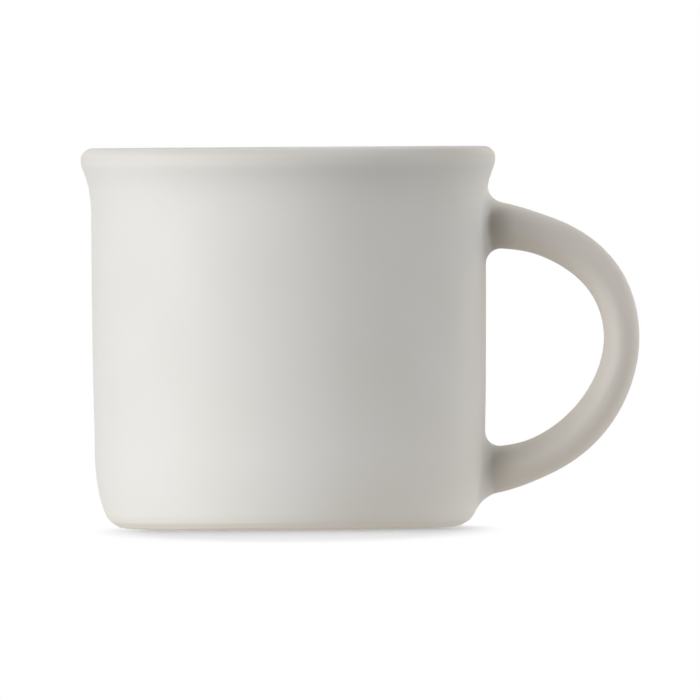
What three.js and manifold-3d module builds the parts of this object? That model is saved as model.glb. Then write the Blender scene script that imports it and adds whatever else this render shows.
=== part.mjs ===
// Espresso cup: a straight stoneware cup with a flared lip, a foot ring and one D-shaped handle.
// The clay body and the clay handle are luted together with slip, and a glaze coat covers both.
// Millimetres, +Z up. The cup's foot stands on Z = 0, and the handle points along +X.

import * as THREE from "three";
import { mergeVertices } from "three/addons/utils/BufferGeometryUtils.js";
import Module from "manifold-3d";

const { degToRad, lerp, mapLinear, smoothstep } = THREE.MathUtils;

// Cup sizes, measured over the glaze
const HEIGHT = 55;
const RIM_RADIUS = 30;
const LIP_OVERHANG = 1.46;
const FLARE_HEIGHT = 10;
const FLARE_EASE_LOW = 5.9;
const FLARE_EASE_HIGH = 1.7;
const WALL = 3.4;
const WALL_TAPER = 0.3;
const STRAIGHT_FROM = 16;

// Rounded foot, bare clay on the ring that stands on the table
const CORNER_WIDTH = 3.6;
const CORNER_HEIGHT = 11.2;
const FOOT_RING = 3.4;
const FOOT_EASE = 0.8;
const RECESS = 1.2;

// Inside of the bowl
const FLOOR = 4.6;
const BOWL_ROUND = 6;

// Coats and joints
const GLAZE = 0.35;
const GLAZE_LINE = 0.65;
const SLIP = 0.4;
const GAP = 0.3;

// Handle sizes, measured over the glaze
const HANDLE_REACH = 22.15;
const UPPER_ROOT_DROP = 11.25;
const LOWER_ROOT_HEIGHT = 7.9;
const TIP_RISE = 1.35;
const UPPER_ROOT_ANGLE = 5.2;
const LOWER_ROOT_ANGLE = 4.7;
const UPPER_RUN = 15.75;
const UPPER_BEND = 7;
const LOWER_RUN = 14.9;
const LOWER_BEND = 7;
const ROOT_THICKNESS = 6.85;
const ROOT_SWELL = 9;
const ROOT_WIDTH = 10.4;
const BAR_THICKNESS = 5.8;
const TAPER_FROM = 0.45;
const TIP_THICKNESS = 5.15;
const TIP_WIDTH = 9;
const ROOT_FILLET = 2.4;
const SIDE_FILLET = 1;

// Facets
const SEGMENTS = 48;
const RING_POINTS = 16;
const ARM_RINGS = 11;
const FILLET_STEPS = 4;
const SEAT_PASSES = 8;

// Places worked out from the sizes above
const clayRim = RIM_RADIUS - GLAZE;
const clayTop = HEIGHT - GLAZE;
const clayWall = WALL - 2 * GLAZE;
const lipRound = clayWall / 2;
const lipCentre = new THREE.Vector2(clayRim - lipRound, clayTop - lipRound);
const flareStart = HEIGHT - FLARE_HEIGHT;
const wallTop = clayRim - LIP_OVERHANG;
const wallFoot = wallTop - WALL_TAPER;
const footRadius = wallFoot - CORNER_WIDTH;
const clayFloor = FLOOR - GLAZE;
const bowlRadius = wallFoot - clayWall;
const seatHeight = GAP + SLIP;

const { Manifold, Mesh: SolidMesh } = await loadSolids();

async function loadSolids() {
  const wasm = await Module();
  wasm.setup();
  return wasm;
}

function arc(centre, radiusX, radiusZ, from, to) {
  return new THREE.EllipseCurve(centre.x, centre.y, radiusX, radiusZ, from, to, to < from);
}

function ease(from, rise, to, drop) {
  const low = new THREE.Vector2(from.x, from.y + rise);
  const high = new THREE.Vector2(to.x, to.y - drop);
  return new THREE.CubicBezierCurve(from, low, high, to);
}

// A line is a list of points on the clay, each with the direction that leads out of the clay.
function line(runs) {
  const samples = [];
  for (const { curve, steps } of runs) {
    for (let k = samples.length ? 1 : 0; k <= steps; k += 1) {
      const tangent = curve.getTangent(k / steps);
      const out = new THREE.Vector2(tangent.y, -tangent.x);
      samples.push({ point: curve.getPoint(k / steps), out });
    }
  }
  return samples;
}

function clayPoints(samples) {
  return samples.map(({ point }) => point);
}

function coatPoints(samples) {
  return samples.map(({ point, out }) => point.clone().addScaledVector(out, GLAZE));
}

// The rounded corner is split where the glaze stops, just above the table.
const cornerCentre = new THREE.Vector2(footRadius, CORNER_HEIGHT);
const glazeStop = Math.asin(GLAZE_LINE / CORNER_HEIGHT - 1);

const bareCorner = line([
  { curve: arc(cornerCentre, CORNER_WIDTH, CORNER_HEIGHT, -Math.PI / 2, glazeStop), steps: 2 },
]);

const outside = line([
  { curve: arc(cornerCentre, CORNER_WIDTH, CORNER_HEIGHT, glazeStop, 0), steps: 5 },
  { curve: outsideWall(), steps: 3 },
  { curve: outsideFlare(), steps: 6 },
  { curve: arc(lipCentre, lipRound, lipRound, 0, Math.PI / 2), steps: 3 },
]);

const inside = line([
  { curve: arc(lipCentre, lipRound, lipRound, Math.PI / 2, Math.PI), steps: 3 },
  { curve: insideFlare(), steps: 4 },
  { curve: insideWall(), steps: 2 },
  { curve: bowlCorner(), steps: 5 },
  { curve: bowlFloor(), steps: 1 },
]);

// The wall leans out a little from the foot, then runs straight up to the flare.
function outsideWall() {
  const foot = new THREE.Vector2(wallFoot, CORNER_HEIGHT);
  const top = new THREE.Vector2(wallTop, flareStart);
  return ease(foot, CORNER_HEIGHT / 2, top, flareStart - STRAIGHT_FROM);
}

function outsideFlare() {
  const start = new THREE.Vector2(wallTop, flareStart);
  const lip = new THREE.Vector2(clayRim, lipCentre.y);
  return ease(start, FLARE_EASE_LOW, lip, FLARE_EASE_HIGH);
}

function insideFlare() {
  const lip = new THREE.Vector2(clayRim - clayWall, lipCentre.y);
  const start = new THREE.Vector2(wallTop - clayWall, flareStart);
  return ease(lip, -FLARE_EASE_HIGH, start, -FLARE_EASE_LOW);
}

function insideWall() {
  const top = new THREE.Vector2(wallTop - clayWall, flareStart);
  const foot = new THREE.Vector2(bowlRadius, clayFloor + BOWL_ROUND);
  return ease(top, STRAIGHT_FROM - flareStart, foot, -BOWL_ROUND / 2);
}

function bowlCorner() {
  const centre = new THREE.Vector2(bowlRadius - BOWL_ROUND, clayFloor + BOWL_ROUND);
  return arc(centre, BOWL_ROUND, BOWL_ROUND, 0, -Math.PI / 2);
}

function bowlFloor() {
  const edge = new THREE.Vector2(bowlRadius - BOWL_ROUND, clayFloor);
  return new THREE.LineCurve(edge, new THREE.Vector2(0, clayFloor));
}

// The underside is hollowed inside the foot ring, with an eased step up to the hollow.
function underside() {
  const ringInside = new THREE.Vector2(footRadius - FOOT_RING, 0);
  const stepTop = new THREE.Vector2(ringInside.x - FOOT_EASE, RECESS);
  const bend = new THREE.Vector2(ringInside.x, RECESS);
  const step = new THREE.QuadraticBezierCurve(stepTop, bend, ringInside);
  return [new THREE.Vector2(0, RECESS), ...step.getPoints(3)];
}

function revolve(profile) {
  return new THREE.LatheGeometry(profile, SEGMENTS).rotateX(Math.PI / 2);
}

function cupBody() {
  const lining = clayPoints(inside).slice(1);
  return revolve([...underside(), ...wallLine, ...lining]);
}

// Both coats end at the top of the lip, where they meet face to face.
function outerGlaze() {
  const coat = coatPoints(outside);
  const clay = clayPoints(outside).reverse();
  const shell = solidOf(revolve([...coat, ...clay, coat[0]]));
  const windows = roots.map((root) => solidOf(glazeWindow(root)));
  return geometryOf(windows.reduce((rest, window) => rest.subtract(window), shell));
}

function innerGlaze() {
  const clay = clayPoints(inside).reverse();
  return revolve([...clay, ...coatPoints(inside)]);
}

function solidOf(geometry) {
  const bare = new THREE.BufferGeometry();
  bare.setAttribute("position", geometry.getAttribute("position"));
  bare.setIndex(geometry.getIndex());
  const merged = mergeVertices(bare);
  const vertProperties = new Float32Array(merged.getAttribute("position").array);
  const triVerts = new Uint32Array(merged.getIndex().array);
  return new Manifold(new SolidMesh({ numProp: 3, vertProperties, triVerts }));
}

function geometryOf(solid) {
  const { vertProperties, triVerts } = solid.getMesh();
  const geometry = new THREE.BufferGeometry();
  geometry.setAttribute("position", new THREE.BufferAttribute(vertProperties, 3));
  geometry.setIndex(new THREE.BufferAttribute(triVerts, 1));
  geometry.computeVertexNormals();
  return geometry;
}

const wallLine = [...clayPoints(bareCorner), ...clayPoints(outside).slice(1)];

// Radius of the clay wall's outside at a height
function wallRadiusAt(z) {
  const above = wallLine.findIndex((point) => point.y > z);
  const low = wallLine[above - 1];
  const high = wallLine[above];
  return mapLinear(z, low.y, high.y, low.x, high.x);
}

// The handle's centreline is two curves in the XZ plane that meet upright at the tip.
const sideways = new THREE.Vector3(0, 1, 0);
const ringAngles = Array.from({ length: RING_POINTS }, (_, i) => (i / RING_POINTS) * 2 * Math.PI);
const upperRoot = wallPoint(HEIGHT - UPPER_ROOT_DROP);
const lowerRoot = wallPoint(LOWER_ROOT_HEIGHT);
const tip = new THREE.Vector3(
  wallTop + GLAZE + HANDLE_REACH - TIP_THICKNESS / 2,
  0,
  (upperRoot.z + lowerRoot.z) / 2 + TIP_RISE,
);
const upperAway = slope(-UPPER_ROOT_ANGLE);
const lowerAway = slope(LOWER_ROOT_ANGLE);

const upperArm = new THREE.CubicBezierCurve3(
  upperRoot,
  upperRoot.clone().addScaledVector(upperAway, UPPER_RUN),
  tip.clone().setZ(tip.z + UPPER_BEND),
  tip,
);

const lowerArm = new THREE.CubicBezierCurve3(
  tip,
  tip.clone().setZ(tip.z - LOWER_BEND),
  lowerRoot.clone().addScaledVector(lowerAway, LOWER_RUN),
  lowerRoot,
);

// The bar leaves the wall at the upper root and points back at it at the lower root.
const roots = [
  {
    centre: upperRoot,
    away: upperAway,
    out: new THREE.Vector3(-upperAway.z, 0, upperAway.x),
    pointsBack: false,
  },
  {
    centre: lowerRoot,
    away: lowerAway,
    out: new THREE.Vector3(lowerAway.z, 0, -lowerAway.x),
    pointsBack: true,
  },
];

function wallPoint(z) {
  return new THREE.Vector3(wallRadiusAt(z), 0, z);
}

function slope(degrees) {
  const angle = degToRad(degrees);
  return new THREE.Vector3(Math.cos(angle), 0, Math.sin(angle));
}

// An oval around a centre: thick in the handle's plane, wide across it
function ovalPoint(centre, out, thickness, width, grow, angle) {
  const inPlane = (thickness / 2 + grow) * Math.cos(angle);
  const across = (width / 2 + grow) * Math.sin(angle);
  return centre.clone().addScaledVector(out, inPlane).addScaledVector(sideways, across);
}

function oval(centre, out, thickness, width, grow) {
  return ringAngles.map((angle) => ovalPoint(centre, out, thickness, width, grow, angle));
}

// Slides a point along the handle's root until it stands a height off the clay wall
function seat(point, away, height) {
  const seated = point.clone();
  for (let pass = 0; pass < SEAT_PASSES; pass += 1) {
    const radius = Math.hypot(seated.x, seated.y);
    const short = wallRadiusAt(seated.z) + height - radius;
    seated.addScaledVector(away, (short * radius) / (seated.x * away.x));
  }
  return seated;
}

function rootPoint(root, grow, height, angle) {
  const flat = ovalPoint(root.centre, root.out, ROOT_THICKNESS, ROOT_WIDTH, grow, angle);
  return seat(flat, root.away, height);
}

function rootOval(root, grow, height) {
  return ringAngles.map((angle) => rootPoint(root, grow, height, angle));
}

function rootCore(root, height) {
  const half = oval(root.centre, root.out, ROOT_THICKNESS / 2, ROOT_WIDTH / 2, 0);
  const middle = [seat(root.centre, root.away, height)];
  return [middle, half.map((point) => seat(point, root.away, height)), rootOval(root, -GLAZE, height)];
}

// Ovals that widen in a fillet from the bar down to the wall, for a surface that
// stands a coat's thickness off the clay
function rootFlare(root, coat) {
  const ovals = [];
  for (let k = 0; k <= FILLET_STEPS; k += 1) {
    ovals.push(ringAngles.map((angle) => flarePoint(root, coat, angle, k / FILLET_STEPS)));
  }
  return ovals;
}

// The fillet is full above and below the bar and tight at its sides.
function flarePoint(root, coat, angle, share) {
  const fillet = lerp(SIDE_FILLET, ROOT_FILLET, Math.cos(angle) ** 2);
  const radius = fillet + GLAZE - coat;
  const start = Math.acos((fillet + GLAZE - seatHeight) / radius);
  const turned = lerp(start, Math.PI / 2, share);
  const height = fillet + GLAZE - radius * Math.cos(turned);
  return rootPoint(root, fillet - radius * Math.sin(turned), height, angle);
}

// The bar swells towards its root and thins towards the tip.
function barThickness(share, fromRoot) {
  const swell = (ROOT_THICKNESS - BAR_THICKNESS) * (1 - smoothstep(fromRoot, 0, ROOT_SWELL));
  return swell + lerp(BAR_THICKNESS, TIP_THICKNESS, smoothstep(share, TAPER_FROM, 1));
}

// Ovals along one arm, from clear of the root's fillet to the tip
function armOvals(arm, rootAt, coat) {
  const ovals = [];
  const clear = (ROOT_FILLET + GLAZE) / arm.getLength();
  for (let k = 1; k <= ARM_RINGS; k += 1) {
    const fromRoot = lerp(clear, 1, k / ARM_RINGS);
    const at = Math.abs(rootAt - fromRoot);
    const tangent = arm.getTangentAt(at);
    const out = new THREE.Vector3(-tangent.z, 0, tangent.x);
    const thickness = barThickness(fromRoot, fromRoot * arm.getLength());
    const width = lerp(ROOT_WIDTH, TIP_WIDTH, smoothstep(fromRoot, 0, 1));
    ovals.push(oval(arm.getPointAt(at), out, thickness, width, coat - GLAZE));
  }
  return ovals;
}

// The bar's ovals from the upper root to the lower one
function barOvals(coat) {
  const upper = [...rootFlare(roots[0], coat), ...armOvals(upperArm, 0, coat)];
  const lower = [...rootFlare(roots[1], coat), ...armOvals(lowerArm, 1, coat).slice(0, -1)];
  return [...upper, ...lower.reverse()];
}

// Joins ovals, and single points that close an end, into one surface. Each four-sided patch
// is split along its shorter diagonal, so two pieces that share ovals share every facet.
function loft(sections, { loop = false, flip = false } = {}) {
  const points = sections.flat();
  const firsts = [0];
  for (const section of sections) {
    firsts.push(firsts.at(-1) + section.length);
  }
  const at = (j, i) => firsts[j] + (i % sections[j].length);
  const indices = [];
  const add = (a, b, c) => {
    if (a !== b && b !== c && c !== a) {
      indices.push(...(flip ? [a, c, b] : [a, b, c]));
    }
  };
  for (let j = 0; j < sections.length - (loop ? 0 : 1); j += 1) {
    const next = (j + 1) % sections.length;
    for (let i = 0; i < RING_POINTS; i += 1) {
      const [a, b, c, d] = [at(j, i), at(j, i + 1), at(next, i), at(next, i + 1)];
      if (points[a].distanceToSquared(points[d]) <= points[b].distanceToSquared(points[c])) {
        add(a, c, d);
        add(a, d, b);
      } else {
        add(a, c, b);
        add(b, c, d);
      }
    }
  }
  const geometry = new THREE.BufferGeometry().setFromPoints(points);
  geometry.setIndex(indices);
  geometry.computeVertexNormals();
  return geometry;
}

function handle() {
  const upperEnd = rootCore(roots[0], seatHeight);
  const lowerEnd = rootCore(roots[1], seatHeight).reverse();
  return loft([...upperEnd, ...barOvals(0), ...lowerEnd]);
}

function handleGlaze() {
  const coat = barOvals(GLAZE);
  const clay = barOvals(0).reverse();
  return loft([...coat, ...clay], { loop: true });
}

// The slip fills the window in the glaze, under the end of the handle.
function slipJoint(root) {
  const onWall = rootCore(root, GAP);
  const onHandle = rootCore(root, seatHeight).reverse();
  return loft([...onWall, ...onHandle], { flip: root.pointsBack });
}

// A plug through the wall's coat, clear of the slip all round
function glazeWindow(root) {
  const through = GLAZE + GAP;
  const rim = GAP - GLAZE;
  const deep = [seat(root.centre, root.away, -through)];
  const proud = [seat(root.centre, root.away, through)];
  const sections = [deep, rootOval(root, rim, -through), rootOval(root, rim, through), proud];
  return loft(sections, { flip: root.pointsBack });
}

// Finishes
const BARE_CLAY = { color: 0xb8a48d, roughness: 0.85, metalness: 0 };
const JOINT_SLIP = { color: 0xa8937c, roughness: 0.9, metalness: 0 };
const SATIN_GLAZE = { color: 0xe6e3dc, roughness: 0.5, metalness: 0 };

function piece(name, geometry, finish) {
  const mesh = new THREE.Mesh(geometry, new THREE.MeshStandardMaterial(finish));
  mesh.name = name;
  return mesh;
}

const cup = new THREE.Group();
cup.add(piece("cup_body", cupBody(), BARE_CLAY));
cup.add(piece("handle", handle(), BARE_CLAY));
cup.add(piece("upper_slip_joint", slipJoint(roots[0]), JOINT_SLIP));
cup.add(piece("lower_slip_joint", slipJoint(roots[1]), JOINT_SLIP));
cup.add(piece("outer_glaze", outerGlaze(), SATIN_GLAZE));
cup.add(piece("inner_glaze", innerGlaze(), SATIN_GLAZE));
cup.add(piece("handle_glaze", handleGlaze(), SATIN_GLAZE));

// The origin is under the middle of the whole outline, handle included.
const outline = new THREE.Box3().setFromObject(cup);
cup.position.x = -outline.getCenter(new THREE.Vector3()).x;

export default cup;
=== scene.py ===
import math

import bpy
import numpy as np
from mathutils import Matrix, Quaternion, Vector


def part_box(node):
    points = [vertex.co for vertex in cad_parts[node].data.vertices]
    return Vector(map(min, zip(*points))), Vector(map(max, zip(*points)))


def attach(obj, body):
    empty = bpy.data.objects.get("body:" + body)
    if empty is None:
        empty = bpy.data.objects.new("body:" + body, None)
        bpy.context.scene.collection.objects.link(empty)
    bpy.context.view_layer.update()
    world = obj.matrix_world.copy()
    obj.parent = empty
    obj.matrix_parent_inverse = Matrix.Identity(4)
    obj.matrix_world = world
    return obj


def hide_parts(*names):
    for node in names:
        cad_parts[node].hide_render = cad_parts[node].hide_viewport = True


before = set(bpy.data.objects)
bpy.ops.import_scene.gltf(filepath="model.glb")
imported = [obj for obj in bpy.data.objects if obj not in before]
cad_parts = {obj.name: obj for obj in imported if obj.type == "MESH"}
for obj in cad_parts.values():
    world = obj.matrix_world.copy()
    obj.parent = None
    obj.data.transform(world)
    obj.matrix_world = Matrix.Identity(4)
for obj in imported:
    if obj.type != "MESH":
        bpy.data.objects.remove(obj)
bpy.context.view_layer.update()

# Lengths are millimetres about the cup's axis until a mesh is placed, unless a note says metres.
MM = 0.001

# Sizes that the solids give
wall_low, wall_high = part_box("outer_glaze")
bar_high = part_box("handle_glaze")[1]
AXIS_X = (wall_low.x + wall_high.x) / 2 / MM
HEIGHT = wall_high.z / MM
RIM_RADIUS = (wall_high.x - wall_low.x) / 2 / MM
HANDLE_END = bar_high.x / MM - AXIS_X

# Cup, measured over the glaze. The corner is drawn in a little close to the table.
LIP_OVERHANG = 1.46
FLARE_HEIGHT = 10
FLARE_EASE_LOW = 5.9
FLARE_EASE_HIGH = 1.7
WALL = 3.4
WALL_TAPER = 0.3
STRAIGHT_FROM = 16
CORNER_WIDTH = 3.6
CORNER_HEIGHT = 11.2
CORNER_EASE = 0.4
CORNER_EASE_HEIGHT = 2.2
FLOOR = 4.6
BOWL_ROUND = 6

# Foot ring and the hollow inside it
FOOT_RING = 3.4
FOOT_EASE = 0.8
FOOT_ROUND = 0.3
RECESS = 1.2

# Coats. The outer one ends in a thin, rolled edge at the glaze line, which runs in waves, each
# with its number of lobes, its height and its phase. A coat's bed lies just off the clay.
GLAZE = 0.35
GLAZE_EDGE = 0.15
GLAZE_LINE = 0.35
GLAZE_BED = 0.02
GLAZE_ROLL = 0.35
GLAZE_WAVES = [(3, 0.10, 0.4), (7, 0.07, 2.1), (16, 0.035, 4.4), (29, 0.02, 1.3)]
STEEPEST_ROLL = math.radians(85)

# Handle, measured over the glaze
UPPER_ROOT_DROP = 11.25
LOWER_ROOT_HEIGHT = 7.9
TIP_RISE = 1.35
UPPER_ROOT_ANGLE = 5.2
LOWER_ROOT_ANGLE = 4.7
UPPER_RUN = 15.75
UPPER_BEND = 7
LOWER_RUN = 14.9
LOWER_BEND = 7
ROOT_THICKNESS = 6.85
ROOT_SWELL = 9
ROOT_WIDTH = 10.4
BAR_THICKNESS = 5.8
TAPER_FROM = 0.45
TIP_THICKNESS = 5.15
TIP_WIDTH = 9
ROOT_FILLET = 2.4
SIDE_FILLET = 1
ROOT_REACH = 10

# Mesh rows and columns. The wall's grid leaves a window at each root, which is filled by
# rings that run from its edge up the handle. The clay's rows crowd together towards the foot.
# A profile's end this close to the axis is a single point.
CURVE_POINTS = 400
COLUMNS = 216
WINDOW_COLUMNS = 22
WINDOW_ROWS = 28
WINDOW_MARGIN = 1
BRIDGE_RINGS = 6
FILLET_RINGS = 12
BAR_RINGS = 60
ROLL_ROWS = 4
FOOT_ROWS = 6
MIDDLE_ROWS = 30
NECK_ROWS = 14
LIP_ROWS = 12
BOWL_ROWS = 110
UNDERSIDE_CLAY_ROWS = 120
OUTSIDE_CLAY_ROWS = 90
OUTSIDE_CLAY_CROWD = 1.8
INSIDE_CLAY_ROWS = 70
ON_AXIS = 0.001
SEAT_HALVINGS = 40

# Places worked out from the sizes above, on the clay
CLAY_RIM = RIM_RADIUS - GLAZE
CLAY_TOP = HEIGHT - GLAZE
CLAY_WALL = WALL - 2 * GLAZE
LIP_ROUND = CLAY_WALL / 2
LIP_CENTRE = (CLAY_RIM - LIP_ROUND, CLAY_TOP - LIP_ROUND)
FLARE_START = HEIGHT - FLARE_HEIGHT
WALL_TOP = CLAY_RIM - LIP_OVERHANG
WALL_FOOT = WALL_TOP - WALL_TAPER
FOOT_RADIUS = WALL_FOOT - CORNER_WIDTH
FOOT_EDGE = FOOT_RADIUS - CORNER_EASE
CLAY_FLOOR = FLOOR - GLAZE
BOWL_RADIUS = WALL_FOOT - CLAY_WALL
UPPER_ROOT_HEIGHT = HEIGHT - UPPER_ROOT_DROP

# Where the tints start and end, by the height above the table or the distance from the axis:
# glaze that is thin over the lip, with painted shade on its shoulder, and at the foot, has another
# tone on the handle, painted shade in the crease at the handle's roots, more at the upper one, and
# the film on the clay's foot
WALL_SKIN = WALL_TOP + GLAZE
# The lip's shoulder gets thin glaze and painted shade between these heights
LIP_THIN_AND_SHADE_FROM = 52.6
LIP_THIN_AND_SHADE_TO = HEIGHT - 1.3
LIP_COVERED = (HEIGHT - 0.9, HEIGHT)
FOOT_THINS_TO = 1.2
HANDLE_OUT = (WALL_SKIN + 0.2, WALL_SKIN + 2.2)
HANDLE_UP = (HEIGHT - 7.2, HEIGHT - 5.5)
# Painted shade darkens the crease where the handle's roots meet the wall, within these bounds
ROOT_SHADE_STARTS = (WALL_SKIN + 0.6, WALL_SKIN + 1.3)
ROOT_SHADE_FADES = (WALL_SKIN + 1.0, WALL_SKIN + 5.0)
ROOT_SHADE_TOP = (HEIGHT - 8.2, HEIGHT - 10.2)
ROOT_SHADE_HEIGHTS = (15, 35)
FILM_OUT = (FOOT_EDGE, FOOT_EDGE + 0.4)

# Ranges of the noises, the sizes of pinholes and specks, and how much each of them shows
NOISE_CORE = (0.3, 0.7)
NOISE_SPREAD = (0.2, 0.8)
PINHOLE_SCALE = 130
PINHOLE_SIZE = (0.045, 0.02)
PINHOLE_TINT = 0.12
# How much the lip's thin glaze and painted shade show, and how the lip's top is spared
LIP_THINNING_AND_SHADE = (0, 0.6)
LIP_COVER = (1, 0.1)
FOOT_THINNING = (0, 0.4)
PATCHY_THINNING = (0.55, 1)
# How far thin glaze and the lip's painted shade lean to the tan
THIN_AND_SHADE_TINT = 0.5
# How strong the painted shade at the handle's roots is, low and high
ROOT_SHADE_DEPTHS = (0.45, 1)
GRAIN_RISE = 0.35
GLAZE_ROUGH = (0.54, 0.62)
GRAIN_ROUGH = (-0.03, 0.03)
TOAST_SCALE = 90
SPECK_SIZE = (0.22, 0.1)
SPECK_TINT = 0.6
RING_RISE = 0.12
FILM_NOISE = (0.25, 0.75)
FILM_COVER = (0.6, 0.9)
SAND_NOISE = (0.35, 0.7)
SAND_TINT = (0, 0.4)
CLAY_ROUGH = (0.78, 0.92)

# Colours
WHITE = (1, 1, 1, 1)
BLACK = (0, 0, 0, 1)
GLAZE_WHITE = (0.80, 0.792, 0.77, 1)
GLAZE_CLOUD = (0.79, 0.777, 0.745, 1)
# Tan of thin glaze, at the foot and in pinholes, and of the painted shade on the lip's shoulder
GLAZE_THIN_AND_SHADE = (0.66, 0.57, 0.46, 1)
GLAZE_HANDLE = (0.806, 0.764, 0.708, 1)
# Painted shade: the grey put in the crease at the handle's roots
GLAZE_ROOT_SHADE = (0.58, 0.55, 0.50, 1)
GLAZE_FILM = (0.78, 0.74, 0.66, 1)
CLAY_PALE = (0.66, 0.58, 0.48, 1)
CLAY_DARK = (0.56, 0.48, 0.39, 1)
SLIP_PALE = (0.52, 0.43, 0.34, 1)
SLIP_DARK = (0.43, 0.34, 0.26, 1)
IRON_SPECK = (0.26, 0.19, 0.13, 1)
TABLE_BOUNCE = (1, 0.945, 0.87, 1)
TABLE_SHADE = (0.86, 0.86, 0.86, 1)

# Table, in metres. It gives light back to the cup in rings round the cup's axis, and close to the
# foot more of it on the left. An oval round and in front of the cup takes the shadow: its middle
# from the axis, its half width and half depth, the share at which it fades, and its own light.
TABLE_HALF = 0.6
CLOSE_RING = (0.025, 0.033)
CLOSE_SIDES = (AXIS_X * MM - 0.02, AXIS_X * MM + 0.03)
CLOSE_BOUNCE = (0.2, 0.05)
BOUNCE_RING = (0.05, 0.12)
BOUNCE = (0.48, 0.16)
SHADE_ACROSS = 0.0014
SHADE_AHEAD = 0.038
SHADE_WIDE = 0.0308
SHADE_DEEP = 0.12
SHADE_EDGE = (0.635, 1)
SHADE_LIGHT = (0.21, 1)

# Lamps, at one distance in metres from the frame's origin: name, degrees to the right of the
# camera's side, degrees above the table, width and height in metres, watts and colour
LAMP_DISTANCE = 1.5
CUP_LAMPS = [
    ("key_softbox", -52.5, 15, (1.2, 1.0), 24.0, (0.965, 0.976, 0.986)),
    ("right_softbox", 85, 15, (1.4, 1.0), 12.8, (1, 1, 1)),
    ("right_back_softbox", 145, 15, (0.8, 1.0), 1.9, (1, 0.9, 0.75)),
    ("back_softbox", 180, 50, (0.8, 0.8), 4.0, (1, 0.94, 0.85)),
    ("overhead_softbox", 0, 89, (0.9, 0.9), 2.0, (1, 1, 1)),
]
TABLE_LAMPS = [
    ("table_back_strip", 180, 45, (0.15, 1.0), 12.0, (1, 1, 1)),
    ("table_top_strip", 180, 80, (0.3, 0.8), 11.6, (1, 1, 1)),
]

# Camera: its place in metres, the middle of the view to the right of the axis and above the
# table, the roll in degrees, the photo's pixels across and the size of one at the cup
CAMERA_FAR = 4.0
CAMERA_HIGH = 0.06
VIEW_RIGHT = 8.79
VIEW_UP = 25.573
VIEW_ROLL = -0.385
VIEW_PIXELS = 700
PIXEL = 0.14472
SENSOR = 36


def arc(centre, radius_x, radius_z, start, stop, count=CURVE_POINTS):
    """Points of an ellipse's arc, between two angles in degrees."""
    angle = np.radians(np.linspace(start, stop, count))
    x = centre[0] + radius_x * np.cos(angle)
    return np.column_stack([x, centre[1] + radius_z * np.sin(angle)])


def curve(*controls, count=CURVE_POINTS):
    """Points of a Bezier curve with these control points."""
    share = np.linspace(0, 1, count)[:, None]
    layers = [np.array(control, float) * np.ones((count, 1)) for control in controls]
    while len(layers) > 1:
        layers = [low + (high - low) * share for low, high in zip(layers, layers[1:])]
    return layers[0]


def ease(start, rise, stop, drop):
    """A curve that leaves one height and reaches another upright."""
    return curve(start, (start[0], start[1] + rise), (stop[0], stop[1] - drop), stop)


def unit(vectors):
    return vectors / np.linalg.norm(vectors, axis=-1, keepdims=True)


def smooth(share):
    share = np.clip(share, 0, 1)
    return share * share * (3 - 2 * share)


def smooth_slope(share):
    return 6 * share * (1 - share)


def distances(points):
    """How far along a run of points each one lies."""
    steps = np.linalg.norm(np.diff(points, axis=0), axis=1)
    return np.concatenate([[0], np.cumsum(steps)])


def between(along, marks, table):
    """Rows of a table, read between the marks that belong to its rows."""
    return np.stack([np.interp(along, marks, column) for column in table.T], -1)


class Line:
    """A line on the clay, measured along its length, with the way out of the clay at each point."""

    def __init__(self, *runs):
        self.points = np.vstack([runs[0], *[run[1:] for run in runs[1:]]])
        self.along = distances(self.points)
        tangent = np.gradient(self.points, self.along, axis=0)
        self.outs = unit(np.column_stack([tangent[:, 1], -tangent[:, 0]]))
        self.length = self.along[-1]

    def out(self, along):
        return unit(between(along, self.along, self.outs))

    def at(self, along, off):
        points = between(along, self.along, self.points)
        return points + np.asarray(off)[..., None] * self.out(along)


def outside_line():
    corner = arc((FOOT_RADIUS, CORNER_HEIGHT), CORNER_WIDTH, CORNER_HEIGHT, -90, 0)
    corner[:, 0] -= CORNER_EASE * (1 - smooth(corner[:, 1] / CORNER_EASE_HEIGHT))
    foot = (WALL_FOOT, CORNER_HEIGHT)
    top = (WALL_TOP, FLARE_START)
    wall = ease(foot, CORNER_HEIGHT / 2, top, FLARE_START - STRAIGHT_FROM)
    flare = ease(top, FLARE_EASE_LOW, (CLAY_RIM, LIP_CENTRE[1]), FLARE_EASE_HIGH)
    lip = arc(LIP_CENTRE, LIP_ROUND, LIP_ROUND, 0, 90)
    return Line(corner, wall, flare, lip)


def inside_line():
    lip = arc(LIP_CENTRE, LIP_ROUND, LIP_ROUND, 90, 180)
    top = (WALL_TOP - CLAY_WALL, FLARE_START)
    flare = ease((CLAY_RIM - CLAY_WALL, LIP_CENTRE[1]), -FLARE_EASE_HIGH, top, -FLARE_EASE_LOW)
    foot = (BOWL_RADIUS, CLAY_FLOOR + BOWL_ROUND)
    wall = ease(top, STRAIGHT_FROM - FLARE_START, foot, -BOWL_ROUND / 2)
    corner = arc((BOWL_RADIUS - BOWL_ROUND, foot[1]), BOWL_ROUND, BOWL_ROUND, 0, -90)
    floor = curve((BOWL_RADIUS - BOWL_ROUND, CLAY_FLOOR), (0, CLAY_FLOOR))
    return Line(lip, flare, wall, corner, floor)


def underside_line():
    """The hollow inside the foot ring, its eased step, and the ring's rounded inner edge."""
    ring = FOOT_RADIUS - FOOT_RING
    hollow = curve((0, RECESS), (ring - FOOT_EASE, RECESS))
    step = curve((ring - FOOT_EASE, RECESS), (ring, RECESS), (ring, FOOT_ROUND))
    edge = arc((ring + FOOT_ROUND, FOOT_ROUND), FOOT_ROUND, FOOT_ROUND, 180, 270)
    stand = curve((ring + FOOT_ROUND, 0), (FOOT_EDGE, 0))
    return Line(hollow, step, edge, stand)


outside = outside_line()
inside = inside_line()
underside = underside_line()

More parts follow.
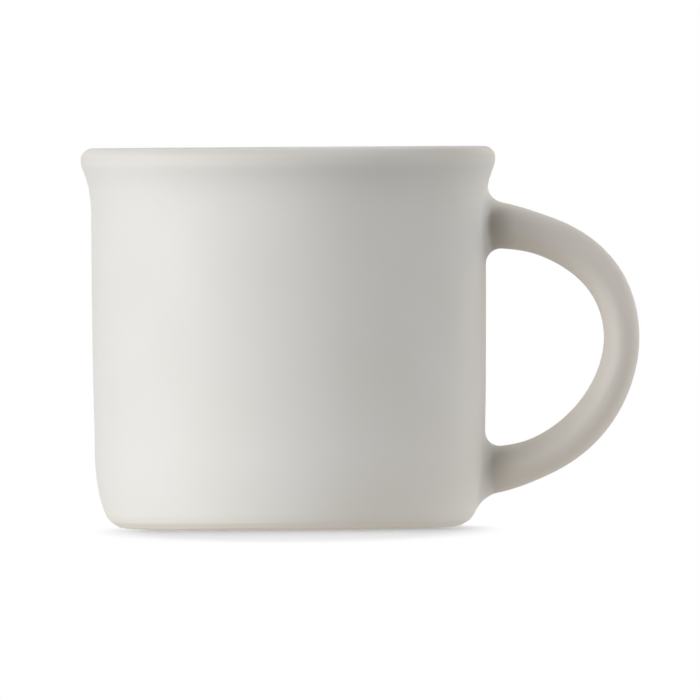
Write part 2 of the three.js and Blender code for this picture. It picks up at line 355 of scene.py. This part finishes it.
# The wall's coat by height
coat_line = outside.at(outside.along, GLAZE)


def clay_radius(z):
    return np.interp(z, outside.points[:, 1], outside.points[:, 0])


def coat_radius(z):
    return np.interp(z, coat_line[:, 1], coat_line[:, 0])


def coat_along(z):
    return np.interp(z, coat_line[:, 1], outside.along)


def column_angle(column):
    return column * 2 * math.pi / COLUMNS


def turn(profile, angle):
    """Points of a profile, each turned by an angle about the cup's axis."""
    radius, z = profile[..., 0], profile[..., 1]
    return np.stack([radius * np.cos(angle), radius * np.sin(angle), z + 0 * angle], -1)


class Arm:
    """One half of the handle's bar, from its root on the wall to the tip."""

    def __init__(self, root, run, lean, tip, bend, side):
        slope = np.array([math.cos(math.radians(lean)), math.sin(math.radians(lean))])
        self.line = curve(root, root + run * slope, tip + np.array([0, bend]), tip)
        self.along = distances(self.line)
        self.slopes = unit(np.gradient(self.line, self.along, axis=0))
        self.slopes[0] = slope
        self.side = side
        self.length = self.along[-1]

    def oval(self, along, angle, grow):
        """Points on the bar's oval section at a distance from the root, grown all round."""
        on_bar = np.clip(along, 0, None)
        slope = unit(between(on_bar, self.along, self.slopes))
        centre = between(on_bar, self.along, self.line)
        centre = centre + np.clip(along, None, 0)[..., None] * slope
        share = along / self.length
        swell = (ROOT_THICKNESS - BAR_THICKNESS) * (1 - smooth(along / ROOT_SWELL))
        taper = (TIP_THICKNESS - BAR_THICKNESS) * smooth((share - TAPER_FROM) / (1 - TAPER_FROM))
        thick = (BAR_THICKNESS + swell + taper) / 2 + grow
        wide = (ROOT_WIDTH + (TIP_WIDTH - ROOT_WIDTH) * smooth(share)) / 2 + grow
        lift = self.side * thick * np.cos(angle)
        x = centre[..., 0] - slope[..., 1] * lift
        z = centre[..., 1] + slope[..., 0] * lift
        return np.stack([x, wide * np.sin(angle), z], -1)

    def seat(self, angle, grow, height):
        """Distances along the bar at which its grown section stands a height off the wall's coat."""
        near = np.full(angle.shape, -float(ROOT_REACH))
        far = np.full(angle.shape, float(ROOT_REACH))
        for _ in range(SEAT_HALVINGS):
            middle = (near + far) / 2
            x, y, z = self.oval(middle, angle, grow).T
            short = np.hypot(x, y) < coat_radius(z) + height
            near = np.where(short, middle, near)
            far = np.where(short, far, middle)
        return (near + far) / 2

    def rings(self, angle):
        """Rings from the fillet's foot on the wall to the tip; the fillet is tighter at the sides."""
        made = []
        fillet = SIDE_FILLET + (ROOT_FILLET - SIDE_FILLET) * np.cos(angle) ** 2
        for turned in np.linspace(0, math.pi / 2, FILLET_RINGS):
            grow = fillet * (1 - math.sin(turned))
            along = self.seat(angle, grow, fillet * (1 - math.cos(turned)))
            made.append(self.oval(along, angle, grow))
        for share in np.linspace(0, 1, BAR_RINGS + 1)[1:]:
            made.append(self.oval(along + (self.length - along) * share, angle, 0))
        return np.array(made)


def handle_bar(angle):
    """Rings of the handle's coat, from its upper root to its lower one."""
    upper = np.array([clay_radius(UPPER_ROOT_HEIGHT), UPPER_ROOT_HEIGHT])
    lower = np.array([clay_radius(LOWER_ROOT_HEIGHT), LOWER_ROOT_HEIGHT])
    tip = np.array([HANDLE_END - TIP_THICKNESS / 2, (upper[1] + lower[1]) / 2 + TIP_RISE])
    upper_arm = Arm(upper, UPPER_RUN, -UPPER_ROOT_ANGLE, tip, UPPER_BEND, 1)
    lower_arm = Arm(lower, LOWER_RUN, LOWER_ROOT_ANGLE, tip, -LOWER_BEND, -1)
    return np.vstack([upper_arm.rings(angle), lower_arm.rings(angle)[-2::-1]])


class Skin:
    """A surface under construction: outer points, their bed on the clay, normals and faces."""

    def __init__(self):
        self.points = []
        self.beds = []
        self.normals = []
        self.faces = []
        self.count = 0

    def add(self, points, beds, normals):
        ids = np.arange(self.count, self.count + points[..., 0].size).reshape(points.shape[:-1])
        self.points.append(points.reshape(-1, 3))
        self.beds.append(beds.reshape(-1, 3))
        self.normals.append(normals.reshape(-1, 3))
        self.count += ids.size
        return ids

    def closed(self, edges):
        """The skin with its bed under it, joined along its edges, without unused points."""
        points = np.vstack([*self.points, *self.beds])
        normals = np.vstack(self.normals)
        normals = np.vstack([normals, -normals])
        beds = [[corner + self.count for corner in reversed(face)] for face in self.faces]
        rims = []
        for edge in edges:
            after = np.roll(edge, -1)
            rim = np.stack([after, edge, edge + self.count, after + self.count], -1)
            rims.extend(rim.tolist())
        used, faces = np.unique(np.array(self.faces + beds + rims), return_inverse=True)
        return points[used], faces.reshape(-1, 4).tolist(), normals[used]


def coat_rows():
    """Places of the wall coat's rows along the outside line, how proud they stand, which way they
    lean, and the rows of the two windows. The coat thins towards its rolled lower edge."""
    angle = column_angle(np.arange(COLUMNS))
    edge = np.full(COLUMNS, np.interp(GLAZE_LINE, outside.points[:, 1], outside.along))
    for lobes, size, phase in GLAZE_WAVES:
        edge += size * np.sin(lobes * angle + phase)
    tilts = np.linspace(math.pi / 2, 0, ROLL_ROWS + 1)[:-1, None]
    places = list(edge - GLAZE_ROLL * np.sin(tilts))

    reach = ROOT_THICKNESS / 2 + ROOT_FILLET + WINDOW_MARGIN
    stops = [
        (coat_along(LOWER_ROOT_HEIGHT - reach), FOOT_ROWS, False),
        (coat_along(LOWER_ROOT_HEIGHT + reach), WINDOW_ROWS, True),
        (coat_along(UPPER_ROOT_HEIGHT - reach), MIDDLE_ROWS, False),
        (coat_along(UPPER_ROOT_HEIGHT + reach), WINDOW_ROWS, True),
        (coat_along(LIP_CENTRE[1]), NECK_ROWS, False),
        (outside.length, LIP_ROWS, False),
    ]
    start = edge
    windows = []
    for stop, rows, is_window in stops:
        if is_window:
            windows.append((len(places), len(places) + rows))
        for row in range(rows):
            places.append(start + (stop - start) * row / rows)
        start = np.full(COLUMNS, stop)
    places = np.array([*places, start])

    thinning = stops[0][0] - edge
    share = np.clip((places - edge) / thinning, 0, 1)
    lifts = GLAZE_EDGE + (GLAZE - GLAZE_EDGE) * smooth(share)
    lifts[:ROLL_ROWS] = np.maximum(2 * GLAZE_BED, GLAZE_EDGE * np.cos(tilts))
    leans = (GLAZE - GLAZE_EDGE) * smooth_slope(share) / thinning
    leans[:ROLL_ROWS] = GLAZE_EDGE / GLAZE_ROLL * np.tan(np.minimum(tilts, STEEPEST_ROLL))
    return angle, places, lifts, leans, windows


def wall_faces(ids, windows):
    """Faces of the wall's grid, apart from those in the windows."""
    half = WINDOW_COLUMNS // 2
    faces = []
    for row in range(len(ids) - 1):
        open_row = any(low <= row < high for low, high in windows)
        for column in range(COLUMNS):
            if open_row and (column < half or column >= COLUMNS - half):
                continue
            after = (column + 1) % COLUMNS
            corners = [(row, column), (row, after), (row + 1, after), (row + 1, column)]
            faces.append([int(ids[corner]) for corner in corners])
    return faces


def window_edge(near, far):
    """Rows and columns round a window, from the middle of the side towards the handle's outside."""
    half = WINDOW_COLUMNS // 2
    step = 1 if far > near else -1
    edge = [(near, column) for column in range(half)]
    edge += [(row, half) for row in range(near, far, step)]
    edge += [(far, column) for column in range(half, -half, -1)]
    edge += [(row, -half) for row in range(far, near, -step)]
    edge += [(near, column) for column in range(-half, 0)]
    rows, columns = np.array(edge).T
    return rows, columns


def bridge(skin, edge_place, edge_turn, ring_place, ring_turn):
    """Loops of the wall's coat from a window's edge to the foot of the handle's fillet."""
    loops = []
    for share in np.arange(1, BRIDGE_RINGS + 1) / (BRIDGE_RINGS + 1):
        place = edge_place + (ring_place - edge_place) * share
        turned = edge_turn + (ring_turn - edge_turn) * share
        points = turn(outside.at(place, GLAZE), turned)
        beds = turn(outside.at(place, GLAZE_BED), turned)
        loops.append(skin.add(points, beds, turn(outside.out(place), turned)))
    return loops


def wall_coat():
    """The glaze over the wall and the handle, in one skin that flows from one to the other."""
    skin = Skin()
    angle, places, lifts, leans, windows = coat_rows()
    around = np.broadcast_to(angle, places.shape)
    out = outside.out(places)
    down = np.stack([out[..., 1], -out[..., 0]], -1)
    facing = unit(out + down * leans[..., None])
    wall = turn(outside.at(places, lifts), around)
    ids = skin.add(wall, turn(outside.at(places, GLAZE_BED), around), turn(facing, around))
    skin.faces.extend(wall_faces(ids, windows))

    ring_points = 2 * (WINDOW_COLUMNS + WINDOW_ROWS)
    bar = handle_bar(np.linspace(0, 2 * math.pi, ring_points, endpoint=False))
    lengthwise = np.gradient(bar, axis=0)
    roundwise = np.roll(bar, -1, axis=1) - np.roll(bar, 1, axis=1)
    bar_normals = unit(np.cross(lengthwise, roundwise))

    (low_from, low_to), (high_from, high_to) = windows
    bridges = []
    for edge, end in ((window_edge(high_to, high_from), 0), (window_edge(low_from, low_to), -1)):
        x, y, z = bar[end].T
        ring_place, ring_turn = coat_along(z), np.arctan2(y, x)
        edge_turn = column_angle(edge[1])
        loops = bridge(skin, places[edge], edge_turn, ring_place, ring_turn)
        bridges.append([ids[edge], *loops])
        bar_normals[end] = turn(outside.out(ring_place), ring_turn)

    bar_ids = skin.add(bar, bar - bar_normals * (GLAZE - GLAZE_BED), bar_normals)
    loops = [*bridges[0], *bar_ids, *reversed(bridges[1])]
    for near, far in zip(loops, loops[1:]):
        quads = np.stack([near, far, np.roll(far, -1), np.roll(near, -1)], -1)
        skin.faces.extend(quads.tolist())
    return skin.closed([ids[0], ids[-1][::-1]])


def revolve(profile, outs):
    """A surface turned from a profile that runs with the solid on its left. It may start or end
    on the axis."""
    angle = column_angle(np.arange(COLUMNS))
    points, normals, faces, rings = [], [], [], []
    for place, out in zip(profile, outs):
        ring_angle = angle[:1] if place[0] < ON_AXIS else angle
        first = sum(len(ring) for ring in rings)
        rings.append(np.arange(first, first + len(ring_angle)))
        points.append(turn(place[None], ring_angle))
        normals.append(turn(out[None], ring_angle))
    for low, high in zip(rings, rings[1:]):
        low, high = np.resize(low, COLUMNS), np.resize(high, COLUMNS)
        quads = np.stack([low, np.roll(low, -1), np.roll(high, -1), high], -1)
        faces.extend([list(dict.fromkeys(quad)) for quad in quads.tolist()])
    return np.vstack(points), faces, np.vstack(normals)


def bowl_coat():
    """The glaze inside the bowl, from the top of the lip to the middle of the floor."""
    lip_length = math.pi / 2 * LIP_ROUND
    lip = np.linspace(0, lip_length, LIP_ROWS, endpoint=False)
    along = np.concatenate([lip, np.linspace(lip_length, inside.length, BOWL_ROWS)])
    bed = along[::-1]
    profile = np.vstack([inside.at(bed, GLAZE_BED), inside.at(along, GLAZE)])
    profile[[0, -1], 0] = 0
    return revolve(profile, np.vstack([-inside.out(bed), inside.out(along)]))


def clay_bowl():
    """The clay under the coats, bare on the foot ring and in its hollow."""
    runs = [
        (underside, np.linspace(0, 1, UNDERSIDE_CLAY_ROWS)),
        (outside, np.linspace(0, 1, OUTSIDE_CLAY_ROWS)[1:] ** OUTSIDE_CLAY_CROWD),
        (inside, np.linspace(0, 1, INSIDE_CLAY_ROWS)[1:]),
    ]
    profile = np.vstack([line.at(line.length * shares, 0) for line, shares in runs])
    profile[[0, -1], 0] = 0
    return revolve(profile, np.vstack([line.out(line.length * shares) for line, shares in runs]))


def node(tree, kind, inputs=None, **settings):
    """A shader node with its settings, and its sockets set to values or linked to other sockets."""
    made = tree.nodes.new("ShaderNode" + kind)
    for name, value in settings.items():
        setattr(made, name, value)
    for name, value in (inputs or {}).items():
        if isinstance(value, bpy.types.NodeSocket):
            tree.links.new(value, made.inputs[name])
        else:
            made.inputs[name].default_value = value
    return made


def link(tree, sockets, values):
    """Links from the sockets that give values to the sockets with these names."""
    for name, value in values.items():
        tree.links.new(value, sockets[name])


def math_node(tree, operation, first, second):
    return node(tree, "Math", {0: first, 1: second}, operation=operation).outputs[0]


def product(tree, first, *others):
    for other in others:
        first = math_node(tree, "MULTIPLY", first, other)
    return first


def ramp(tree, value, given, gives=(0, 1)):
    """A value spread smoothly from one range to another."""
    inputs = {"Value": value, "From Min": given[0], "From Max": given[1]}
    inputs.update({"To Min": gives[0], "To Max": gives[1]})
    return node(tree, "MapRange", inputs, interpolation_type="SMOOTHSTEP").outputs["Result"]


def metres(lengths):
    return [length * MM for length in lengths]


def blend_colour(tree, share, first, second):
    return node(tree, "Mix", {0: share, 6: first, 7: second}, data_type="RGBA").outputs[2]


def noise(tree, place, scale, detail):
    inputs = {"Vector": place, "Scale": scale, "Detail": detail}
    return node(tree, "TexNoise", inputs).outputs["Fac"]


def cells(tree, place, scale):
    return node(tree, "TexVoronoi", {"Vector": place, "Scale": scale}).outputs["Distance"]


def from_axis(tree, place, across=0.0, ahead=0.0, wide=1.0, deep=1.0):
    """The level distance from the cup's axis, or from a place beside it in shares of an oval."""
    middle = (AXIS_X * MM + across, -ahead, 0)
    offset = node(tree, "VectorMath", {0: place, 1: middle}, operation="SUBTRACT").outputs[0]
    shares = {0: offset, 1: (1 / wide, 1 / deep, 0)}
    flat = node(tree, "VectorMath", shares, operation="MULTIPLY").outputs[0]
    return node(tree, "VectorMath", {0: flat}, operation="LENGTH").outputs["Value"]


def effect(name, inputs, outputs):
    """An empty node group with named number sockets."""
    tree = bpy.data.node_groups.new(name, "ShaderNodeTree")
    for label, value in inputs.items():
        socket = tree.interface.new_socket(label, in_out="INPUT", socket_type="NodeSocketFloat")
        socket.default_value = value
    for label in outputs:
        tree.interface.new_socket(label, in_out="OUTPUT", socket_type="NodeSocketFloat")
    given = tree.nodes.new("NodeGroupInput").outputs
    return tree, given, tree.nodes.new("NodeGroupOutput").inputs


def glaze_skin():
    """How fired glaze varies: slow clouds, a fine satin grain, rare pinholes, where it thins, with
    painted shade on the lip's shoulder, where it lies on the handle, and painted shade in the
    crease at the handle's roots."""
    inputs = {
        "Cloud Scale": 70,
        "Grain Scale": 1500,
        "Lip Height": LIP_THIN_AND_SHADE_FROM * MM,
        "Foot Height": FOOT_THINS_TO * MM,
    }
    outputs = ("Cloud", "Grain", "Pinhole", "Thin And Shade", "Handle", "Root Shade", "Height")
    tree, given, gives = effect("glaze_skin", inputs, outputs)
    place = node(tree, "TexCoord").outputs["Object"]
    high = node(tree, "SeparateXYZ", {0: place}).outputs["Z"]
    out = from_axis(tree, place)

    cloud = noise(tree, place, given["Cloud Scale"], detail=3)
    grain = noise(tree, place, given["Grain Scale"], detail=4)
    pinhole = ramp(tree, cells(tree, place, PINHOLE_SCALE), PINHOLE_SIZE)
    rise = math_node(tree, "ADD", product(tree, grain, GRAIN_RISE), cloud)

    # The lip's shoulder: thin glaze and painted shade, spared at the very top
    shoulder_thin_and_shade = ramp(tree, high, (given["Lip Height"], LIP_THIN_AND_SHADE_TO * MM), LIP_THINNING_AND_SHADE)
    lip = product(tree, shoulder_thin_and_shade, ramp(tree, high, metres(LIP_COVERED), LIP_COVER))
    foot = ramp(tree, high, (given["Foot Height"], 0), FOOT_THINNING)
    thin_and_lip_shade = math_node(tree, "MAXIMUM", lip, foot)

    off_wall = ramp(tree, out, metres(HANDLE_OUT))
    under_lip = ramp(tree, high, metres(HANDLE_UP), (1, 0))
    # Painted shade in the crease at the handle's roots, kept off the top of the upper arm
    beside_wall = ramp(tree, out, metres(ROOT_SHADE_STARTS))
    near_root = ramp(tree, out, metres(ROOT_SHADE_FADES), (1, 0))
    under_arm = ramp(tree, high, metres(ROOT_SHADE_TOP))
    depth = ramp(tree, high, metres(ROOT_SHADE_HEIGHTS), ROOT_SHADE_DEPTHS)

    link(tree, gives, {
        "Cloud": cloud,
        "Grain": grain,
        "Pinhole": pinhole,
        "Thin And Shade": product(tree, thin_and_lip_shade, ramp(tree, cloud, NOISE_SPREAD, PATCHY_THINNING)),
        "Handle": product(tree, off_wall, under_lip),
        "Root Shade": product(tree, under_arm, depth, beside_wall, near_root),
        "Height": math_node(tree, "SUBTRACT", rise, pinhole),
    })
    return tree


def clay_grain():
    """How fired clay varies: sandy grain, dark iron specks, faint turning rings, and the film that
    wiped glaze leaves on the outer edge of the foot."""
    inputs = {"Grain Scale": 2600, "Speck Scale": 900, "Ring Scale": 900}
    outputs = ("Grain", "Speck", "Toast", "Film", "Height")
    tree, given, gives = effect("clay_grain", inputs, outputs)
    place = node(tree, "TexCoord").outputs["Object"]
    out = from_axis(tree, place)
    grain = noise(tree, place, given["Grain Scale"], detail=3)
    toast = noise(tree, place, TOAST_SCALE, detail=2)
    turns = product(tree, out, given["Ring Scale"], 2 * math.pi)
    rings = math_node(tree, "SINE", turns, 0)
    film = ramp(tree, out, metres(FILM_OUT))
    link(tree, gives, {
        "Grain": grain,
        "Speck": ramp(tree, cells(tree, place, given["Speck Scale"]), SPECK_SIZE),
        "Toast": toast,
        "Film": product(tree, film, ramp(tree, toast, FILM_NOISE, FILM_COVER)),
        "Height": math_node(tree, "ADD", grain, product(tree, rings, RING_RISE)),
    })
    return tree


def new_material(name, shader_inputs):
    """A material with one shader, and its tree for the nodes that feed it."""
    material = bpy.data.materials.new(name)
    material.use_nodes = True
    tree = material.node_tree
    shader = tree.nodes["Principled BSDF"]
    for label, value in shader_inputs.items():
        shader.inputs[label].default_value = value
    return material, tree, shader


def place_effect(tree, group, values):
    """A group's outputs, after some of its inputs are set."""
    made = tree.nodes.new("ShaderNodeGroup")
    made.node_tree = group
    for label, value in (values or {}).items():
        made.inputs[label].default_value = value
    return made.outputs


def feed(tree, shader, colour, roughness, height, depth, strength):
    bump = node(tree, "Bump", {"Height": height, "Distance": depth, "Strength": strength})
    sources = {"Base Color": colour, "Roughness": roughness, "Normal": bump.outputs[0]}
    link(tree, shader.inputs, sources)


def satin_glaze(name, group, values=None):
    """Off-white satin glaze: a little warmer in its clouds, on the handle and where it thins over
    an edge, with painted shade over the lip's shoulder and in the crease at the handle's roots."""
    material, tree, shader = new_material(name, {"IOR": 1.5, "Specular IOR Level": 0.35})
    skin = place_effect(tree, group, values)
    clouded = blend_colour(tree, ramp(tree, skin["Cloud"], NOISE_CORE), GLAZE_WHITE, GLAZE_CLOUD)
    toned = blend_colour(tree, skin["Handle"], clouded, GLAZE_HANDLE)
    # Painted shade in the crease at the handle's roots
    root_shaded = blend_colour(tree, skin["Root Shade"], toned, GLAZE_ROOT_SHADE)
    # Thin glaze at the foot and on the lip, and painted shade on the lip's shoulder
    thinned_and_shaded = blend_colour(tree, product(tree, skin["Thin And Shade"], THIN_AND_SHADE_TINT), root_shaded, GLAZE_THIN_AND_SHADE)
    colour = blend_colour(tree, product(tree, skin["Pinhole"], PINHOLE_TINT), thinned_and_shaded, GLAZE_THIN_AND_SHADE)
    slow = ramp(tree, skin["Cloud"], NOISE_SPREAD, GLAZE_ROUGH)
    fine = ramp(tree, skin["Grain"], NOISE_CORE, GRAIN_ROUGH)
    rough = math_node(tree, "ADD", slow, fine)
    feed(tree, shader, colour, rough, skin["Height"], depth=0.00002, strength=0.25)
    return material


def fired_clay(name, group, pale, dark, values=None):
    """Unglazed fired stoneware: sandy, with toasted patches, iron specks and the glaze's film."""
    material, tree, shader = new_material(name, {"IOR": 1.45, "Specular IOR Level": 0.3})
    grain = place_effect(tree, group, values)
    toasted = blend_colour(tree, ramp(tree, grain["Toast"], NOISE_CORE), pale, dark)
    sandy = blend_colour(tree, ramp(tree, grain["Grain"], SAND_NOISE, SAND_TINT), toasted, dark)
    specked = blend_colour(tree, product(tree, grain["Speck"], SPECK_TINT), sandy, IRON_SPECK)
    colour = blend_colour(tree, grain["Film"], specked, GLAZE_FILM)
    rough = ramp(tree, grain["Grain"], NOISE_SPREAD, CLAY_ROUGH)
    feed(tree, shader, colour, rough, grain["Height"], depth=0.00004, strength=0.5)
    return material


def piece(name, surface, material, slot, *nodes):
    """A finished mesh at its place in the frame, which stands for these solids."""
    points, faces, normals = surface
    mesh = bpy.data.meshes.new(name)
    mesh.from_pydata(((points + [AXIS_X, 0, 0]) * MM).tolist(), [], faces)
    mesh.polygons.foreach_set("use_smooth", [True] * len(mesh.polygons))
    mesh.normals_split_custom_set_from_vertices(normals.tolist())
    mesh.materials.append(material)
    made = bpy.data.objects.new(name, mesh)
    bpy.context.scene.collection.objects.link(made)
    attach(made, "root")
    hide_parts(*nodes)


def dress_cup():
    skin = glaze_skin()
    grain = clay_grain()
    outer = satin_glaze("outer_satin_glaze", skin)
    inner = satin_glaze("inner_satin_glaze", skin, {"Foot Height": 0})
    clay = fired_clay("bare_clay", grain, CLAY_PALE, CLAY_DARK)
    slip = fired_clay("joint_slip", grain, SLIP_PALE, SLIP_DARK, {"Ring Scale": 0})
    piece("glaze_outside", wall_coat(), outer, "satin_glaze", "outer_glaze", "handle_glaze")
    piece("glaze_inside", bowl_coat(), inner, "satin_glaze", "inner_glaze")
    piece("clay_bowl", clay_bowl(), clay, "bare_clay", "cup_body")
    for name, material in (("handle", clay), ("upper_slip_joint", slip), ("lower_slip_joint", slip)):
        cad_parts[name].material_slots[0].material = material


def seen_ray(tree):
    """One for the rays that show the background, nothing for the rays that light the cup."""
    path = node(tree, "LightPath").outputs
    seen = math_node(tree, "MAXIMUM", path["Is Camera Ray"], path["Is Glossy Ray"])
    return math_node(tree, "MAXIMUM", seen, path["Is Transmission Ray"])


def table_top():
    """A table that reads white from above, keeps the cup's soft shadow and is clear from below."""
    corners = [(-1, -1), (1, -1), (1, 1), (-1, 1)]
    mesh = bpy.data.meshes.new("table_top")
    places = [(x * TABLE_HALF, y * TABLE_HALF, -GLAZE_BED * MM) for x, y in corners]
    mesh.from_pydata(places, [], [(0, 1, 2, 3)])

    plain = {"Roughness": 0.9, "Specular IOR Level": 0.0}
    material, tree, shader = new_material("pale_table", plain)
    place = node(tree, "TexCoord").outputs["Object"]
    across = node(tree, "SeparateXYZ", {0: place}).outputs["X"]
    from_cup = from_axis(tree, place)
    from_shade = from_axis(tree, place, SHADE_ACROSS, SHADE_AHEAD, SHADE_WIDE, SHADE_DEEP)
    seen = seen_ray(tree)
    unseen = math_node(tree, "SUBTRACT", 1, seen)
    white = product(tree, ramp(tree, from_shade, SHADE_EDGE, SHADE_LIGHT), seen)
    takes_shadow = product(tree, ramp(tree, from_shade, SHADE_EDGE, (1, 0)), seen)
    close = ramp(tree, across, CLOSE_SIDES, CLOSE_BOUNCE)
    close = product(tree, close, ramp(tree, from_cup, CLOSE_RING, (1, 0)))
    bounce = math_node(tree, "ADD", close, ramp(tree, from_cup, BOUNCE_RING, BOUNCE))
    below_table = node(tree, "NewGeometry").outputs["Backfacing"]
    link(tree, shader.inputs, {
        "Base Color": blend_colour(tree, takes_shadow, BLACK, TABLE_SHADE),
        "Emission Color": blend_colour(tree, seen, TABLE_BOUNCE, WHITE),
        "Emission Strength": math_node(tree, "ADD", white, product(tree, bounce, unseen)),
        "Alpha": math_node(tree, "SUBTRACT", 1, below_table),
    })
    mesh.materials.append(material)
    made = bpy.data.objects.new("table_top", mesh)
    bpy.context.scene.collection.objects.link(made)
    return made


def softbox(lit, name, side, up, size, watts, colour):
    """A lamp that faces the middle of the frame and lights one group of things."""
    lamp = bpy.data.lights.new(name, "AREA")
    lamp.shape = "RECTANGLE"
    lamp.size, lamp.size_y = size
    lamp.energy = watts
    lamp.color = colour
    made = bpy.data.objects.new(name, lamp)
    side, up = math.radians(side), math.radians(up)
    way = (math.sin(side) * math.cos(up), -math.cos(side) * math.cos(up), math.sin(up))
    made.location = LAMP_DISTANCE * Vector(way)
    aim = Vector((0, 0, HEIGHT / 2 * MM)) - made.location
    made.rotation_mode = "QUATERNION"
    made.rotation_quaternion = aim.to_track_quat("-Z", "Y")
    made.visible_camera = False
    made.light_linking.receiver_collection = lit
    bpy.context.scene.collection.objects.link(made)


def lit_group(name, things):
    made = bpy.data.collections.new(name)
    for thing in things:
        made.objects.link(thing)
    return made


def studio(table):
    """Lamps for the cup, lamps for the table alone, and a white background that lights nothing."""
    meshes = [thing for thing in bpy.data.objects if thing.type == "MESH"]
    cup = lit_group("cup", [thing for thing in meshes if thing != table])
    floor = lit_group("floor", [table])
    for lit, lamps in ((cup, CUP_LAMPS), (floor, TABLE_LAMPS)):
        for lamp in lamps:
            softbox(lit, *lamp)
    world = bpy.data.worlds.new("studio")
    bpy.context.scene.world = world
    world.use_nodes = True
    tree = world.node_tree
    light = blend_colour(tree, seen_ray(tree), BLACK, WHITE)
    tree.links.new(light, tree.nodes["Background"].inputs["Color"])


def camera():
    aim = Vector(((AXIS_X + VIEW_RIGHT) * MM, 0, VIEW_UP * MM))
    data = bpy.data.cameras.new("camera")
    data.sensor_width = SENSOR
    data.lens = SENSOR * CAMERA_FAR / (VIEW_PIXELS * PIXEL * MM)
    made = bpy.data.objects.new("camera", data)
    made.location = (aim.x, -CAMERA_FAR, CAMERA_HIGH)
    made.rotation_mode = "QUATERNION"
    look = (aim - made.location).to_track_quat("-Z", "Y")
    made.rotation_quaternion = look @ Quaternion((0, 0, 1), math.radians(VIEW_ROLL))
    bpy.context.scene.collection.objects.link(made)
    bpy.context.scene.camera = made


dress_cup()
studio(table_top())
camera()
bpy.context.scene.view_settings.view_transform = "Standard"
